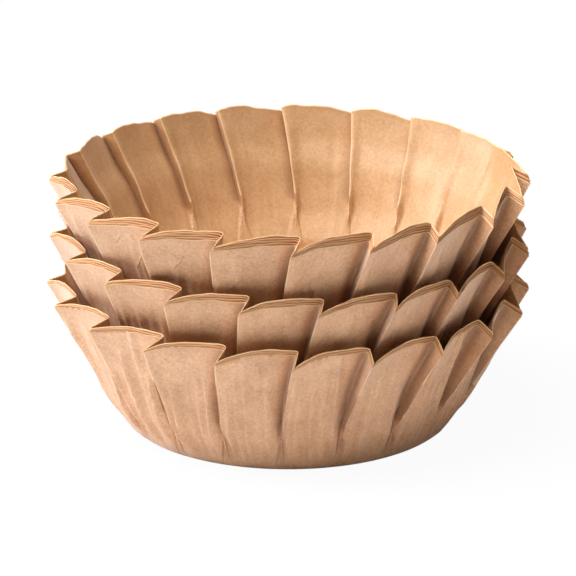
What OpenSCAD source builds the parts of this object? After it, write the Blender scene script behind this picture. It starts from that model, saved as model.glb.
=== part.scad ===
// Stack of twelve round paper cake molds, in millimetres, +Z up.
// Each mold is a flat round sheet pressed into a cup with one-way knife pleats.
// Three nested groups stand in one another. Their folds don't line up, so each
// group rides high, with its outer folds on the rim of the group below.
// The origin is the middle of the underside of the lowest mold.

/* [Sheet] */
// Diameter of the flat sheet before it is pressed
sheet_d = 252; // [220:1:290]
// Diameter of the flat base
base_d = 128; // [110:1:145]
// Thickness of the base as modelled
paper_t = 0.3; // [0.2:0.05:0.4]

/* [Pleats] */
// Pleats round the cup
pleats = 20; // [16:4:24]
// Lean of the foot of the wall from upright, below the pleats, in degrees
toe_lean = 30; // [26:0.5:34]
// How much further a fold leans out at the foot than its panels do, in degrees
fold_out = 3; // [1.5:0.5:4]
// Height along the wall at which the pleats start
dart_rise = 20; // [15:0.5:25]
// Lean of an outer fold from upright, in degrees
outer_lean = 29; // [26:0.5:31]
// Lean of an inner fold from upright, in degrees
inner_lean = 18.2; // [16:0.1:20]
// How far an inner fold laps past the next outer fold at the rim, in degrees
lap = 1.2; // [0:0.1:1.5]
// How far a fold drifts round the cup from its start to the rim, in degrees
fold_drift = 3; // [0:0.5:4]
// Half width of the small triangle under each pleat, in degrees
toe = 4; // [2:0.1:5]

/* [Nesting] */
// Rise of each mold over the one it is nested in
nest_step = 1; // [0.9:0.05:1.4]
// Turn of each mold against the one it is nested in, in degrees
nest_turn = 0.3; // [0.2:0.05:0.35]
// Where a middle outer fold lands on a bottom panel, as a share of its width
middle_phase = 0.96; // [0.5:0.02:0.96]
// Where a top outer fold lands on a middle panel, as a share of its width
top_phase = 0.56; // [0.5:0.02:0.96]
// Air left between one group and the next
group_gap = 0.5; // [0.3:0.05:0.7]

/* [Look] */
// Colour of the paper
paper_colour = "#C99B72"; // ["#C99B72":Brown kraft, "#E8DCC6":Unbleached, "#F7F5F0":White]

/* [Hidden] */

base_r = base_d / 2;
// The wall takes up what the sheet has beyond the base
slant = (sheet_d - base_d) / 2;
pitch = 360 / pleats;
panel = pitch + lap;
// The inner skin is the outer skin nested half a step up, so walls can't cross
skin_step = nest_step / 2;
skin_turn = nest_turn / 2;
// Shares of a panel's width at which its rim bends
bends = [0, 0.25, 0.55, 1];
bottom_count = 3;
middle_count = 4;

// Lean of the wall at a share of the panel's width: falls off fast, then flat
function lean(u) = inner_lean + (outer_lean - inner_lean) * pow(1 - u, 3);
// The same between the bends, where the rim runs straight
function rim_lean(u) = lookup(u, [for (bend = bends) [bend, lean(bend)]]);
// Radius and height at the start of the pleats, where a fold stands out
function dart_r(out) = base_r + dart_rise * sin(toe_lean + out);
function dart_z(out) = dart_rise * cos(toe_lean + out);
// The same at the rim, at a share of the panel's width, with some cut off the edge
function rim_r(u, cut = 0) =
    dart_r(u == 0 ? fold_out : 0) + (slant - dart_rise - cut) * sin(rim_lean(u));
function rim_z(u, cut = 0) =
    dart_z(u == 0 ? fold_out : 0) + (slant - dart_rise - cut) * cos(rim_lean(u));
function ring_point(a, r, z) = [r * cos(a), r * sin(a), z];

// A point of the outer skin, lifted and turned into the nest
function nested(p, lift, turn) = [
    p.x * cos(turn) - p.y * sin(turn),
    p.x * sin(turn) + p.y * cos(turn),
    p.z + lift
];
// Base ring: the two toes of each pleat and the middle of its panel. It may run
// on a little below the skin's own base, along the foot of the wall.
function base_ring(drop) = [
    for (i = [0:pleats - 1])
        for (a = [-toe, toe, pitch / 2])
            ring_point(i * pitch - fold_drift + a, base_r - drop * tan(toe_lean), -drop)
];
// Dart ring: the start of each fold, which stands out a little, and two panel points
function dart_ring() = [
    for (i = [0:pleats - 1])
        for (b = [0, 1, 2])
            let (out = b == 0 ? fold_out : 0)
                ring_point((i + b / 3) * pitch - fold_drift, dart_r(out), dart_z(out))
];
// Rim ring: outer fold, two bends and inner fold, all one slant length up the wall
function rim_ring(cut) = [
    for (i = [0:pleats - 1])
        for (u = bends)
            ring_point(i * pitch + u * panel, rim_r(u, cut), rim_z(u, cut))
];

// Faces of the outer skin, by point number, over base, dart and rim rings
n3 = 3 * pleats;
n4 = 4 * pleats;
function b(k) = (k + n3) % n3;
function d(k) = n3 + (k + n3) % n3;
function r(k) = 2 * n3 + (k + n4) % n4;
skin_faces = [
    for (i = [0:pleats - 1])
        let (k = 3 * i, q = 4 * i)
            for (f = [
                // from the base up to the start of the pleats
                [b(k), d(k), b(k + 1)],
                [b(k + 1), d(k), d(k + 1)],
                [b(k + 1), d(k + 1), b(k + 2)],
                [b(k + 2), d(k + 1), d(k + 2)],
                [b(k + 2), d(k + 2), b(k + 3)],
                [b(k + 3), d(k + 2), d(k + 3)],
                // the panel, from its outer fold to its inner fold
                [d(k), r(q), r(q + 1)],
                [d(k), r(q + 1), d(k + 1)],
                [d(k + 1), r(q + 1), r(q + 2)],
                [d(k + 1), r(q + 2), d(k + 2)],
                [d(k + 2), r(q + 2), r(q + 3)],
                [d(k + 2), r(q + 3), d(k + 3)],
                // the flap that folds back out to the next panel
                [d(k + 3), r(q + 3), r(q + 4)]
            ]) f
];
skin_size = 2 * n3 + n4;
function reversed(f) = [for (i = [len(f) - 1:-1:0]) f[i]];

// One mold: two skins, closed by the base on each side and the cut edge at the rim
module mold() {
    outer = concat(base_ring(0), dart_ring(), rim_ring(0));
    inner = concat(base_ring(skin_step - paper_t), dart_ring(), rim_ring(skin_step * cos(inner_lean)));
    polyhedron(
        points = concat(outer, [for (p = inner) nested(p, skin_step, skin_turn)]),
        faces = concat(
            skin_faces,
            [for (f = skin_faces) reversed([for (i = f) i + skin_size])],
            [[for (k = [0:n3 - 1]) b(k)]],
            [reversed([for (k = [0:n3 - 1]) b(k) + skin_size])],
            [for (k = [0:n4 - 1]) [r(k), r(k) + skin_size, r(k + 1) + skin_size]],
            [for (k = [0:n4 - 1]) [r(k), r(k + 1) + skin_size, r(k + 1)]]
        ),
        convexity = 6
    );
}

// Rise of a group over the lowest mold of the one below, whose count is given.
// Its outer fold, a straight line up from the start of the pleat, clears the rim
// where it crosses it.
function group_rise(count, u) =
    rim_z(u) + count * nest_step
    - dart_z(fold_out) - (rim_r(u) - dart_r(fold_out)) / tan(outer_lean)
    + group_gap / sin(outer_lean);
function group_turn(count, u) = count * nest_turn + u * panel;

middle_z = group_rise(bottom_count - 1, middle_phase);
middle_a = group_turn(bottom_count - 1, middle_phase);
top_z = middle_z + group_rise(middle_count - 1, top_phase);
top_a = middle_a + group_turn(middle_count - 1, top_phase);
// The lowest mold turns an outer fold to the front, a little past the middle
front = 272.5;

// A mold in its place: the group's rise and turn, and its number in the group
module placed(z, a, number) {
    color(paper_colour)
        translate([0, 0, z + (number - 1) * nest_step])
            rotate([0, 0, front + a + (number - 1) * nest_turn])
                mold();
}

module bottom_mold_1() placed(0, 0, 1);
module bottom_mold_2() placed(0, 0, 2);
module bottom_mold_3() placed(0, 0, 3);
module middle_mold_1() placed(middle_z, middle_a, 1);
module middle_mold_2() placed(middle_z, middle_a, 2);
module middle_mold_3() placed(middle_z, middle_a, 3);
module middle_mold_4() placed(middle_z, middle_a, 4);
module top_mold_1() placed(top_z, top_a, 1);
module top_mold_2() placed(top_z, top_a, 2);
module top_mold_3() placed(top_z, top_a, 3);
module top_mold_4() placed(top_z, top_a, 4);
module top_mold_5() placed(top_z, top_a, 5);

bottom_mold_1();
bottom_mold_2();
bottom_mold_3();
middle_mold_1();
middle_mold_2();
middle_mold_3();
middle_mold_4();
top_mold_1();
top_mold_2();
top_mold_3();
top_mold_4();
top_mold_5();
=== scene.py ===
import math

import bpy
import numpy as np
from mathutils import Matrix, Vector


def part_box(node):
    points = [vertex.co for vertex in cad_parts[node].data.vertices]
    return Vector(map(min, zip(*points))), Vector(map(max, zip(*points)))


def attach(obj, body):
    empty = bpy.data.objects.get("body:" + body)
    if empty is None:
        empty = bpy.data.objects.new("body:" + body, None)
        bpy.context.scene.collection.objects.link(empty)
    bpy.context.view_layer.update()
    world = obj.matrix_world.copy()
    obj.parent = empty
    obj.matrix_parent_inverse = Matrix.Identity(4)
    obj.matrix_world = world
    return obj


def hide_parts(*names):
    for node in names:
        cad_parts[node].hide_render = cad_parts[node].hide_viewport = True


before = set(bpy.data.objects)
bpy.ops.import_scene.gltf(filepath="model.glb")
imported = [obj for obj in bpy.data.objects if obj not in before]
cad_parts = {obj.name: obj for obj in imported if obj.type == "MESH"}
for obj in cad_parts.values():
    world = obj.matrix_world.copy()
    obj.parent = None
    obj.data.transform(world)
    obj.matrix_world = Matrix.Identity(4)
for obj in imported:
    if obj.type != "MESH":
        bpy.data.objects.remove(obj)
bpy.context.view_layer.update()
view = bpy.context.scene.view_settings
view.view_transform = "Standard"

# Bottom three molds
# The lowest cups of the stack: brown greaseproof kraft paper, each pressed from a flat round
# sheet between a ribbed punch and die into a flat base and twenty one-way knife pleats, and
# nested so closely that only the cut edges tell them apart.
pleats = 20
pitch = 2 * math.pi / pleats
base_r = 0.064
sheet_r = 0.126
slant = sheet_r - base_r
cup_height = 0.053
paper_thickness = 0.00015
# the pleats start this far up the wall, each over a small triangle that is its toe
dart_rise = 0.020
toe_half = 0.0040
# leans from upright of the foot of the wall, an outer fold and an inner fold
toe_lean = math.radians(31)
outer_lean = math.radians(30)
inner_lean = math.radians(18)
# at the rim an inner fold laps past the next outer fold, and both have drifted round the cup
lap = math.radians(1.5)
fold_drift = math.radians(3)
nest_turn = math.radians(0.3)
# an outer fold points to the front, and the paper is most wrinkled where it was gripped
front = math.radians(270)
gripped_side = math.radians(235)


def smooth(x):
    """0 up to 0, 1 from 1 on, and three x squared less two x cubed between."""
    x = np.clip(x, 0, 1)
    return x * x * (3 - 2 * x)


def shares(count):
    """Shares from 0 up to, but without, 1, closer at both ends: half of one less the cosine of
    a half turn's even steps."""
    return (1 - np.cos(np.pi * np.arange(count) / count)) / 2


def waves(way, counts, phases):
    """Mean of the sines of the way round times each count, each from its own phase."""
    return sum(np.sin(way * k + p) for k, p in zip(counts, phases)) / len(counts)


def wall_profile(lean, s, start_r):
    """Radius and height along the slant s for each column: the running sums of the sine and
    the cosine of the lean. The lean starts flat, curves over the base edge to the toe's lean,
    eases to an outer fold's, and splits into the columns' own where the pleats start."""
    foot = np.pi / 2 + (toe_lean - np.pi / 2) * smooth((s + 0.002) / 0.005)
    foot = foot + (outer_lean - foot) * smooth((s - 0.004) / 0.011)
    lean = foot + (lean - foot) * smooth((s - 0.016) / 0.008)
    middle = (lean[1:] + lean[:-1]) / 2
    step = np.diff(s, axis=0)
    zero = np.zeros((1, s.shape[1]))
    radius = start_r + np.concatenate([zero, np.cumsum(np.sin(middle) * step, axis=0)])
    height = np.concatenate([zero, np.cumsum(np.cos(middle) * step, axis=0)])
    return radius, height


def polar(radius, angle, height):
    """Points from radius, angle and height, one array with x, y and z first."""
    return np.stack(np.broadcast_arrays(radius * np.cos(angle), radius * np.sin(angle), height))


def from_line(x, y, x0, y0, x1, y1):
    """Distance from points to straight stretches: the nearest share of each stretch, kept
    between 0 and 1, and the straight way to it."""
    along = (x - x0) * (x1 - x0) + (y - y0) * (y1 - y0)
    along = np.clip(along / ((x1 - x0) ** 2 + (y1 - y0) ** 2), 0, 1)
    return np.hypot(x - x0 - along * (x1 - x0), y - y0 - along * (y1 - y0))


def wrinkle_height(rng, pulls, pleat, across_wall, s):
    """Soft ridges that run up each panel where the pressed paper springs back, as shares of
    the group's wrinkle height: the sum, over the pulls, of a bell across a slanting line, less
    a little that lets the paper between draw in. A bell's one flank is steep and the other
    runs out softly, and it fades towards the base and, at its own height, the rim."""
    panel_width = 0.021
    height = 0
    for k in range(pulls):
        begin, slope, top, width, lift = rng.uniform(0, 1, (5, pleats))[:, pleat]
        start = (k + 0.2 + 0.6 * begin) / pulls * panel_width
        slope = (slope - 0.45) * 0.06
        aside = across_wall - start - slope * (s - dart_rise)
        ridge = np.exp(-(aside / np.where(aside < 0, 0.0008, 0.0012 + 0.0014 * width)) ** 2)
        reach = smooth((s - 0.001) / 0.014) * (1 - smooth((s - 0.030 - 0.024 * top) / 0.014))
        height = height + (0.3 + lift) * (ridge - 0.15) * reach
    return height


def handling_creases(rng, count, pleat, across_wall, s):
    """Distance to short straight creases that slant down from near the rim, each 4 to 11 mm
    long from a point of its own; two in five are left out by moving them far off."""
    nearest = np.full(s.shape, 0.01)
    for k in range(count):
        where, deep, length, tilt, shown = rng.uniform(0, 1, (5, pleats))[:, pleat]
        x0, y0 = 0.003 + 0.020 * where, slant - 0.004 - 0.016 * deep
        tilt = np.where(tilt < 0.5, -0.5 - tilt, tilt)
        length = 0.004 + 0.007 * length
        x1, y1 = x0 + length * np.sin(tilt), y0 - length * np.cos(tilt)
        nearest = np.minimum(nearest, from_line(across_wall, s, x0, y0, x1, y1) + 0.01 * (shown < 0.4))
    return nearest


def pressed_sheet(group, number, panel_columns, flap_columns, foot_rows, wall_rows):
    """One mold as a grid, the slant s up its wall by the way across its pleats, closed by a
    point in the base. Across a panel, where u goes from 0 to 1, the wall's lean falls from the
    outer fold's to the inner fold's as (1 - u) to the group's arch power. Across the flap,
    where v goes from 0 to 1, the wall runs straight back to the next outer fold. A point's
    radius and height come from wall_profile, and its angle from the fold, which drifts round
    as it climbs. Toes and wrinkles are added along the wall's outward normal, and the rim's
    wander along the slant."""
    rng = np.random.default_rng(group["seed"])
    # half of the columns crowd to the folds, half spread evenly
    even = np.arange(panel_columns) / panel_columns
    across = np.concatenate([(shares(panel_columns) + even) / 2, 1 + shares(flap_columns)])
    pleat = np.repeat(np.arange(pleats), len(across))
    across = np.tile(across, pleats)
    u = np.minimum(across, 1)
    v = np.maximum(across - 1, 0)
    following = (pleat + 1) % pleats

    # no two pleats are pressed quite alike
    fold_wander = rng.uniform(-1, 1, pleats) * math.radians(group["wander"])
    outer = math.radians(group["outer_lean"]) + rng.uniform(-1, 1, pleats) * math.radians(0.6)
    inner = inner_lean + rng.uniform(-1, 1, pleats) * math.radians(0.4)
    own_lap = lap + rng.uniform(-1, 1, pleats) * math.radians(0.8)

    # rows of the slant, counted from the base edge: the base, the foot, the wall and the rim
    base = np.array([-0.060, -0.040, -0.020, -0.010, -0.006])
    foot = np.linspace(-0.0035, 0.028, foot_rows)
    wall = np.linspace(0.030, slant - 0.0018, wall_rows)
    rim = slant - np.array([0.0012, 0.0006, 0])
    row = np.concatenate([base, foot, wall, rim])[:, None]

    # the rim wanders by 0.6 mm for the whole group and 0.4 mm for each sheet, and the folds of
    # an inner sheet have further to go round, so they end lower
    way = (pleat + u) * pitch
    sheet_phases = np.random.default_rng(group["seed"] + 10 * number).uniform(0, 2 * np.pi, 4)
    sheet_wander = waves(way, (13, 31, 53, 83), sheet_phases)
    group_wander = waves(way, (11, 17, 29), rng.uniform(0, 2 * np.pi, 3))
    tuck = (number - 1) * (0.00055 * (1 - u) ** 3 + 0.0003 * u ** 8)
    near_rim = np.clip((row / slant - 0.6) / 0.4, 0, 1)
    s = row + (0.0006 * group_wander + 0.0004 * sheet_wander - tuck) * near_rim

    panel_lean = inner[pleat] + (outer[pleat] - inner[pleat]) * (1 - u) ** group["arch"]
    start_r = base_r + base[0]
    near_r, near_z = wall_profile(panel_lean[None, :], s, start_r)
    far_r, far_z = wall_profile(outer[following][None, :], s, start_r)
    radius = near_r + (far_r - near_r) * v
    height = near_z + (far_z - near_z) * v

    # t goes from 0 at the start of the pleats to 1 at the rim; the flap starts half a degree wide
    t = np.clip((s - dart_rise) / (slant - dart_rise), 0, 1)
    fold = pleat * pitch + fold_wander[pleat] * t - fold_drift * (1 - t)
    next_fold = (pleat + 1) * pitch + fold_wander[following] * t - fold_drift * (1 - t)
    flap_start = math.radians(0.5)
    inner_fold = next_fold - flap_start + (own_lap[pleat] + flap_start) * t
    angle = fold + u * (inner_fold - fold)
    angle = angle + v * (next_fold - angle)

    # toes: the spare width gathers into a flat triangle 1.2 mm deep, over whose tip the fold
    # stands out 0.4 mm and the pleat opens as a slit 2 mm deep, with a hollow 1.4 mm deep above
    right = (angle - fold) * radius
    left = np.abs(next_fold - angle) * radius
    climb = np.clip(s / dart_rise, 0, 1)
    half = toe_half * (1 - climb)
    above = smooth((s - dart_rise) / 0.002)
    gathered = np.maximum(smooth((half - right) / 0.0005 + 0.5), smooth((half - left) / 0.0005 + 0.5))
    gathered = climb * gathered * (1 - above)
    stand = np.exp(-((s - dart_rise - 0.002) / 0.007) ** 2) * np.clip(1 - right / 0.005, 0, 1)
    slit = np.exp(-((s - dart_rise - 0.003) / 0.0055) ** 2 - (np.maximum(left - 0.0006, 0) / 0.0010) ** 2)
    hollow = np.sin(np.pi * t) * np.exp(-(left / 0.0028) ** 2)
    out = 0.0004 * stand - 0.0012 * gathered - (0.0020 * slit + 0.0014 * hollow) * (1 - v)

    # wrinkles show on the outermost sheet, and turned inwards and half as high on the innermost
    across_wall = u * (inner_fold - fold) * radius
    sprung = group["wrinkles"] * {1: 1, group["count"]: -0.5}.get(number, 0)
    sprung = sprung * (1 + 0.5 * np.cos(pleat * pitch + front - gripped_side))
    out = out + sprung * wrinkle_height(rng, group["pulls"], pleat, across_wall, s) * (v == 0)
    # each toe is creased down both its sides, and the outermost sheet is creased by handling
    crease = from_line(across_wall, s, 0.0, dart_rise, toe_half, 0.0)
    crease = np.minimum(crease, from_line(left, s, 0.0, dart_rise, toe_half, 0.0))
    if number == 1:
        crease = np.minimum(crease, handling_creases(rng, group["creases"], pleat, across_wall, s))

    # an inner fold is round: within 1.4 mm the paper follows a parabola between panel and flap
    spin = front + math.radians(group["turn"]) + (number - 1) * nest_turn
    corner_r, corner_z = wall_profile(np.broadcast_to(inner[pleat], (1, len(pleat))), s, start_r)
    width = radius * np.abs(inner_fold - fold)
    flap = np.hypot(far_r - corner_r, far_z - corner_z) + 0.0005
    point = polar(radius, angle + spin, height)
    corner = polar(corner_r, inner_fold + spin, corner_z)
    to_panel = polar(corner_r, inner_fold - 0.1 + spin, corner_z) - corner
    to_flap = polar(far_r, next_fold + spin, far_z) - corner
    to_panel = to_panel / np.linalg.norm(to_panel, axis=0)
    to_flap = to_flap / np.maximum(np.linalg.norm(to_flap, axis=0), 1e-6)
    bend = 0.0014 * smooth((s - dart_rise) / 0.03) + 1e-6
    from_inner = np.where(v == 0, (1 - u) * width, v * flap)
    share = np.where(v == 0, 1 - from_inner / bend, 1 + from_inner / bend) / 2
    curve = corner + bend * ((1 - share) ** 2 * to_panel + share ** 2 * to_flap)
    x, y, z = np.where(from_inner < np.minimum(bend, 0.45 * flap), curve, point)

    # below the rim each sheet lies looser in the one outside it, and clear of its wrinkles
    face_lean = np.arctan2(np.gradient(radius, axis=0), np.gradient(height, axis=0))
    loose = 0.0005 * (number - 1) * (1 - smooth((s - 0.036) / 0.014))
    loose = loose + 0.7 * group["wrinkles"] * (number > 1) * (1 - smooth((s - 0.048) / 0.012))
    loose = loose * smooth(s / 0.006)
    x = x + (out * np.cos(face_lean) - loose) * np.cos(angle + spin)
    y = y + (out * np.cos(face_lean) - loose) * np.sin(angle + spin)
    z = np.maximum(z - out * np.sin(face_lean), 0)

    # the cup leans a little as it sits in the one below; the lowest base stays flat on the table
    hold = np.clip(height / cup_height, 0, 1) if group["flat_base"] else 1.0
    dip, roll = np.radians(group["dip"]) * hold, np.radians(group["roll"]) * hold
    shift_x, shift_y, rise = group["shift"]
    tipped = [
        x - z * roll + shift_x * hold,
        y - z * dip + shift_y * hold,
        z + y * dip + x * roll + rise,
    ]
    grid = np.stack([np.broadcast_to(a, radius.shape) for a in tipped], axis=-1)

    # below the pleats the folds run out, so no highlight or shade is painted along them there
    run_out = 0.008 * (1 - smooth((s - dart_rise + 0.002) / 0.008))
    distances = {
        "from_outer_fold": np.where(v == 0, u * width, (1 - v) * flap) + run_out,
        "from_inner_fold": from_inner + run_out,
        "from_rim": s[-1] - s,
        "from_crease": np.where(v == 0, crease, 0.01),
    }
    across_sheet = pleat * pitch * sheet_r + np.where(v == 0, u * width, width + v * flap)
    return grid, distances, across_sheet, s


def mold_mesh(name, grid, distances, across_sheet, s, lift):
    """A mesh of the grid's squares, wrapped round in angle, with triangles to one point in the
    middle of the base, its underside out."""
    rows, columns = grid.shape[:2]
    centre = grid[0].mean(axis=0)[None, :]
    points = np.concatenate([grid.reshape(-1, 3), centre]) + np.array([0, 0, lift])
    index = np.arange(rows * columns).reshape(rows, columns)
    right = np.roll(index, -1, axis=1)
    squares = np.stack([index[:-1], right[:-1], right[1:], index[1:]], axis=-1).reshape(-1, 4)
    fan = np.stack([index[0], np.full(columns, rows * columns), right[0]], axis=-1)
    mesh = bpy.data.meshes.new(name)
    mesh.from_pydata(points.tolist(), [], squares.tolist() + fan.tolist())
    # the middle of the base is far from any fold, crease or rim
    for key, value in distances.items():
        layer = mesh.attributes.new(key, "FLOAT", "POINT")
        layer.data.foreach_set("value", np.append(np.broadcast_to(value, (rows, columns)).ravel(), 1.0))
    corners = np.empty(len(mesh.loops), dtype=np.int32)
    mesh.loops.foreach_get("vertex_index", corners)
    flat = np.stack([np.append(across_sheet.ravel(), 0), np.append(s.ravel(), s.min())], axis=-1)
    paper_map = mesh.uv_layers.new(name="flat_sheet")
    paper_map.data.foreach_set("uv", flat[corners].ravel())
    mesh.polygons.foreach_set("use_smooth", np.ones(len(mesh.polygons), dtype=bool))
    mesh.set_sharp_from_angle(angle=math.radians(38))
    return mesh


def linear(code):
    """A hex colour as linear light: each channel over 12.92 up to 0.04045, and above it
    ((c + 0.055) / 1.055) to the power 2.4."""
    channels = [int(code[k:k + 2], 16) / 255 for k in (1, 3, 5)]
    return tuple(c / 12.92 if c <= 0.04045 else ((c + 0.055) / 1.055) ** 2.4 for c in channels) + (1.0,)


def add_node(tree, kind, inputs=None, **settings):
    """Adds a node; an input that is a socket is linked, any other is set as a value."""
    added = tree.nodes.new(kind)
    for key, value in settings.items():
        setattr(added, key, value)
    for key, value in (inputs or {}).items():
        if isinstance(value, bpy.types.NodeSocket):
            tree.links.new(value, added.inputs[key])
        else:
            added.inputs[key].default_value = value
    return added


def kraft_paper(
    name, light, dark, highlight_fold, fold_highlight_colour, rim_highlight_colour, rim_glow_and_shade_colour, rim_glow_and_shade_strength, crease_strength, sheen
):
    """Brown greaseproof kraft paper, calendered, which is why it has a soft gloss over fine
    fibre mottle and soft clouds. Its standing folds carry a painted highlight, its hollow folds
    painted shade, and its cut edge a lighter line, partly the paler cut fibres and partly a
    painted highlight, over a band of painted glow and shade."""
    material = bpy.data.materials.new(name)
    material.use_nodes = True
    tree = material.node_tree
    tree.nodes.clear()
    place = add_node(tree, "ShaderNodeTexCoord").outputs["Object"]

    # clouds of fibre about 9 mm across and flecks about 1 mm, as coarse as the picture can show
    clouds_in = {"Vector": place, "Scale": 110, "Detail": 2, "Roughness": 0.5}
    clouds = add_node(tree, "ShaderNodeTexNoise", clouds_in)
    flecks_in = {"Vector": place, "Scale": 900, "Detail": 3, "Roughness": 0.75}
    flecks = add_node(tree, "ShaderNodeTexNoise", flecks_in)
    mottle = add_node(tree, "ShaderNodeMath", {0: clouds.outputs[0], 1: 0.35}, operation="MULTIPLY")
    mottle_in = {0: flecks.outputs[0], 1: 0.65, 2: mottle.outputs[0]}
    mottle = add_node(tree, "ShaderNodeMath", mottle_in, operation="MULTIPLY_ADD")
    amount = add_node(tree, "ShaderNodeMapRange", {0: mottle.outputs[0], 1: 0.36, 2: 0.64})
    body_in = {0: amount.outputs[0], 6: linear(dark), 7: linear(light)}
    body = add_node(tree, "ShaderNodeMix", body_in, data_type="RGBA")

    def band(attribute, start, end, strength):
        """The strength up to start metres from a fold or the rim, falling to 0 at end."""
        distance = add_node(tree, "ShaderNodeAttribute", attribute_name=attribute).outputs["Fac"]
        spread_in = {0: distance, 1: start, 2: end, 3: strength, 4: 0.0}
        spread = add_node(tree, "ShaderNodeMapRange", spread_in, interpolation_type="SMOOTHSTEP")
        return spread.outputs[0]

    # in turn: in the hollow of a fold, within 5.5 mm, painted shade darkens the paper; a fold
    # that stands out gets a painted highlight along a line about half a millimetre wide; under the
    # cut edge of a nested sheet a warmer band is painted for light that comes through the paper
    # and for shade between the rims; and the cut edge itself is lighter, partly the paler cut
    # fibres and partly a painted highlight
    shaded_fold = {"from_inner_fold": "from_outer_fold", "from_outer_fold": "from_inner_fold"}[highlight_fold]
    colour = body
    for shown, shade in [
        (band(shaded_fold, 0.0005, 0.0055, 0.6), "#8E5C34"),
        (band(highlight_fold, 0.0001, 0.0006, 0.8), fold_highlight_colour),
        (band("from_rim", 0.0008, 0.0024, rim_glow_and_shade_strength), rim_glow_and_shade_colour),
        (band("from_rim", 0.0002, 0.0006, 1.0), rim_highlight_colour),
    ]:
        colour_in = {0: shown, 6: colour.outputs[2], 7: linear(shade)}
        colour = add_node(tree, "ShaderNodeMix", colour_in, data_type="RGBA")

    # creases stand up 0.7 mm wide to each side over the relief of the fibres
    relief_in = {0: mottle.outputs[0], 1: 0.5, 2: band("from_crease", 0.0, 0.0007, crease_strength)}
    relief = add_node(tree, "ShaderNodeMath", relief_in, operation="MULTIPLY_ADD")
    bump_in = {"Height": relief.outputs[0], "Distance": 0.0004, "Strength": 0.6}
    bump = add_node(tree, "ShaderNodeBump", bump_in)

    shader = add_node(
        tree,
        "ShaderNodeBsdfPrincipled",
        {
            "Base Color": colour.outputs[2],
            "Roughness": 0.5,
            "Specular IOR Level": 0.8,
            "Sheen Weight": sheen,
            "Sheen Roughness": 0.4,
            "Normal": bump.outputs[0],
        },
    )
    add_node(tree, "ShaderNodeOutputMaterial", {"Surface": shader.outputs[0]})
    return material


# the outside of the outermost sheet of a group, the palest copy of the paper, with the palest painted
# highlights along its folds and the most sheen
outside = kraft_paper(
    "kraft_greaseproof_outside",
    light="#E6B68C",
    dark="#C29068",
    highlight_fold="from_outer_fold",
    fold_highlight_colour="#F6D4AC",
    rim_highlight_colour="#E4B680",
    rim_glow_and_shade_colour="#CC965C",
    rim_glow_and_shade_strength=0.2,
    crease_strength=1.2,
    sheen=0.5,
)
# the inside of every sheet, where the inner folds are the ones that stand out; its paper is painted darker
# than the outside's, as the shade inside the cup
inside = kraft_paper(
    "kraft_greaseproof_inside",
    light="#D6AB7E",
    dark="#BE905F",
    highlight_fold="from_inner_fold",
    fold_highlight_colour="#EDCB9E",
    rim_highlight_colour="#E6C090",
    rim_glow_and_shade_colour="#C8945C",
    rim_glow_and_shade_strength=0.3,
    crease_strength=0.6,
    sheen=0.15,
)
# the outside of the innermost sheet, which shows only as the lightest line along the rim, a painted
# highlight over the cut edge
innermost = kraft_paper(
    "kraft_greaseproof_innermost",
    light="#DDB07F",
    dark="#C49062",
    highlight_fold="from_outer_fold",
    fold_highlight_colour="#E0B47E",
    rim_highlight_colour="#F4CC96",
    rim_glow_and_shade_colour="#BE8048",
    rim_glow_and_shade_strength=0.8,
    crease_strength=0.8,
    sheen=0.1,
)
# the outside of the sheets between, painted darker, with a deep band of painted shade under the rim, as the
# shade of their neighbours
nested = kraft_paper(
    "kraft_greaseproof_nested",
    light="#D9A878",
    dark="#BE8A5A",
    highlight_fold="from_outer_fold",
    fold_highlight_colour="#D8A46A",
    rim_highlight_colour="#DCA06A",
    rim_glow_and_shade_colour="#A86C3A",
    rim_glow_and_shade_strength=0.9,
    crease_strength=0.6,
    sheen=0.1,
)


def nested_mold(node, group, number, paper, panel_columns=12, flap_columns=5, foot_rows=9, wall_rows=12):
    """One mold of a group in place of its node, with the paper's thickness to the inside."""
    grid, distances, across_sheet, s = pressed_sheet(
        group, number, panel_columns, flap_columns, foot_rows, wall_rows
    )
    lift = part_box(node)[0][2]
    mesh = mold_mesh(node + "_paper", grid, distances, across_sheet, s, lift)
    mesh.materials.append(paper)
    mesh.materials.append(inside)
    mold = bpy.data.objects.new(node + "_paper", mesh)
    bpy.context.scene.collection.objects.link(mold)
    wall = mold.modifiers.new("paper", "SOLIDIFY")
    wall.thickness = paper_thickness
    wall.offset = -1
    wall.material_offset = 1
    wall.use_rim = True
    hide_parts(node)
    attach(mold, "root")


# turns and leans are in degrees, lengths in metres; pulls and creases are counts for one panel
bottom_group = {
    "seed": 11,
    "count": 3,
    "turn": 1.3,
    "wander": 0.5,
    "outer_lean": 30,
    "arch": 3,
    "dip": 0.4,
    "roll": -1.5,
    "shift": (-0.0018, -0.0010, 0),
    "flat_base": True,
    "wrinkles": 0.0013,
    "pulls": 5,
    "creases": 1,
}
nested_mold(
    "bottom_mold_1", bottom_group, 1, outside, panel_columns=46, flap_columns=5, foot_rows=18, wall_rows=20
)
nested_mold("bottom_mold_2", bottom_group, 2, nested)
nested_mold("bottom_mold_3", bottom_group, 3, innermost)

# Middle four molds
# The same pressed sheets, turned so that their pleats don't fall into those below. They ride
# high, tipped a little towards the front.
middle_group = dict(
    bottom_group,
    seed=23,
    count=4,
    turn=6.0,
    outer_lean=28.5,
    dip=1.5,
    roll=-1.2,
    shift=(-0.0006, 0.0010, -0.0003),
    flat_base=False,
    wrinkles=0.0005,
    creases=3,
)
nested_mold(
    "middle_mold_1", middle_group, 1, outside, panel_columns=34, flap_columns=6, foot_rows=10, wall_rows=24
)
nested_mold("middle_mold_2", middle_group, 2, nested)
nested_mold("middle_mold_3", middle_group, 3, nested)
nested_mold("middle_mold_4", middle_group, 4, innermost)

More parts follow.
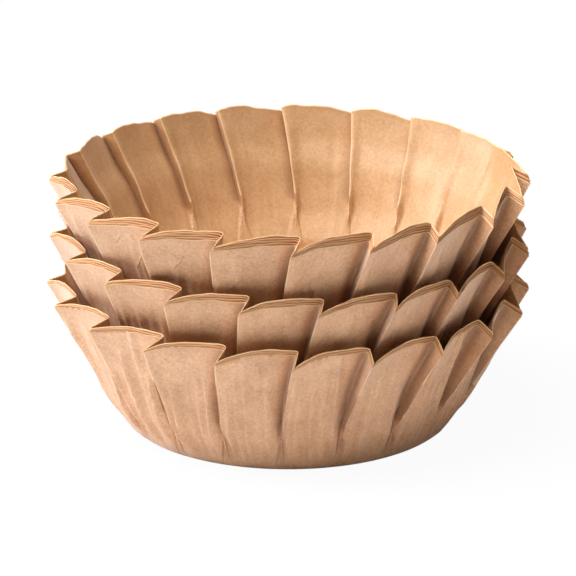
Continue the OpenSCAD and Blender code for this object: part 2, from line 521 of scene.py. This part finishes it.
# Top five molds
# The same pressed sheets again, with the arch of each panel rounder because five of them
# hold one another open. The fifth shows the inside of the cup.
top_group = dict(
    bottom_group,
    seed=37,
    count=5,
    turn=-0.2,
    outer_lean=28.5,
    arch=2.2,
    dip=-0.2,
    roll=-0.25,
    shift=(0.0003, -0.0004, -0.0002),
    flat_base=False,
    wrinkles=0.0005,
    creases=3,
)
nested_mold(
    "top_mold_1", top_group, 1, outside, panel_columns=34, flap_columns=6, foot_rows=10, wall_rows=24
)
nested_mold("top_mold_2", top_group, 2, nested)
nested_mold("top_mold_3", top_group, 3, nested)
nested_mold("top_mold_4", top_group, 4, nested)
nested_mold(
    "top_mold_5", top_group, 5, innermost, panel_columns=32, flap_columns=6, foot_rows=18, wall_rows=24
)

# Floor
# A white sweep of studio board. It shows white to the camera but keeps the stack's soft shadow.
floor_size = 12
corner = floor_size / 2
floor_mesh = bpy.data.meshes.new("floor")
floor_mesh.from_pydata(
    [(-corner, -corner, 0), (corner, -corner, 0), (corner, corner, 0), (-corner, corner, 0)],
    [],
    [(0, 1, 2, 3)],
)
floor = bpy.data.objects.new("floor", floor_mesh)
bpy.context.scene.collection.objects.link(floor)
board = bpy.data.materials.new("white_board")
board.use_nodes = True
tree = board.node_tree
tree.nodes.clear()
path = add_node(tree, "ShaderNodeLightPath")
matte = add_node(tree, "ShaderNodeBsdfDiffuse", {"Color": linear("#F2F2F2")})
glow = add_node(tree, "ShaderNodeEmission", {"Color": (1, 1, 1, 1), "Strength": 1.0})
seen = add_node(tree, "ShaderNodeMath", {0: path.outputs["Is Camera Ray"], 1: 0.95}, operation="MULTIPLY")
mixed = add_node(tree, "ShaderNodeMixShader", {0: seen.outputs[0], 1: matte.outputs[0], 2: glow.outputs[0]})
add_node(tree, "ShaderNodeOutputMaterial", {"Surface": mixed.outputs[0]})
floor_mesh.materials.append(board)

# Light
# A wide soft box overhead whitens the table, whose glow lights the leaning walls from below. A
# smaller one lights the outside of the left pleats and the inside of the right ones, and a weak
# one from the right opens the shadows there. The world is white only to the camera.
world = bpy.data.worlds.new("studio")
world.use_nodes = True
tree = world.node_tree
tree.nodes.clear()
path = add_node(tree, "ShaderNodeLightPath")
strength = add_node(tree, "ShaderNodeMapRange", {0: path.outputs["Is Camera Ray"], 3: 0.04, 4: 1.0})
sky = add_node(tree, "ShaderNodeBackground", {"Color": (1, 1, 1, 1), "Strength": strength.outputs[0]})
add_node(tree, "ShaderNodeOutputWorld", {"Surface": sky.outputs[0]})
bpy.context.scene.world = world


def soft_box(name, place, aim, size, power):
    """A square area lamp at place that faces aim: tipped from straight down by the angle whose
    tangent is the level way over the fall, and turned to the side of the level way."""
    lamp = bpy.data.lights.new(name, "AREA")
    lamp.size = size
    lamp.energy = power
    box = bpy.data.objects.new(name, lamp)
    bpy.context.scene.collection.objects.link(box)
    direction = np.array(aim) - np.array(place)
    side = np.cross(direction, (0, 0, 1))
    box.location = place
    box.rotation_euler = (
        math.atan2(math.hypot(direction[0], direction[1]), -direction[2]),
        0,
        math.atan2(side[1], side[0]),
    )


soft_box("overhead", place=(-0.55, -0.15, 1.5), aim=(0, 0, 0), size=1.2, power=44)
soft_box("key", place=(-1.3, 0.05, 0.62), aim=(0, 0, 0.07), size=0.4, power=10)
soft_box("right_fill", place=(1.5, -0.9, 0.3), aim=(0, 0, 0.05), size=0.8, power=4)

# Camera
# The picture's own view: a long lens, nineteen degrees above the table.
picture_width = 576
elevation = math.radians(18.95)
distance = 1.463
focal_pixels = 3687
look_at = (-0.0002, 0.0, 0.05218)
camera_data = bpy.data.cameras.new("camera")
camera_data.sensor_width = 36
camera_data.lens = camera_data.sensor_width * focal_pixels / picture_width
camera = bpy.data.objects.new("camera", camera_data)
camera.location = (
    look_at[0],
    look_at[1] - distance * math.cos(elevation),
    look_at[2] + distance * math.sin(elevation),
)
camera.rotation_euler = (math.pi / 2 - elevation, 0, 0)
bpy.context.scene.collection.objects.link(camera)
bpy.context.scene.camera = camera
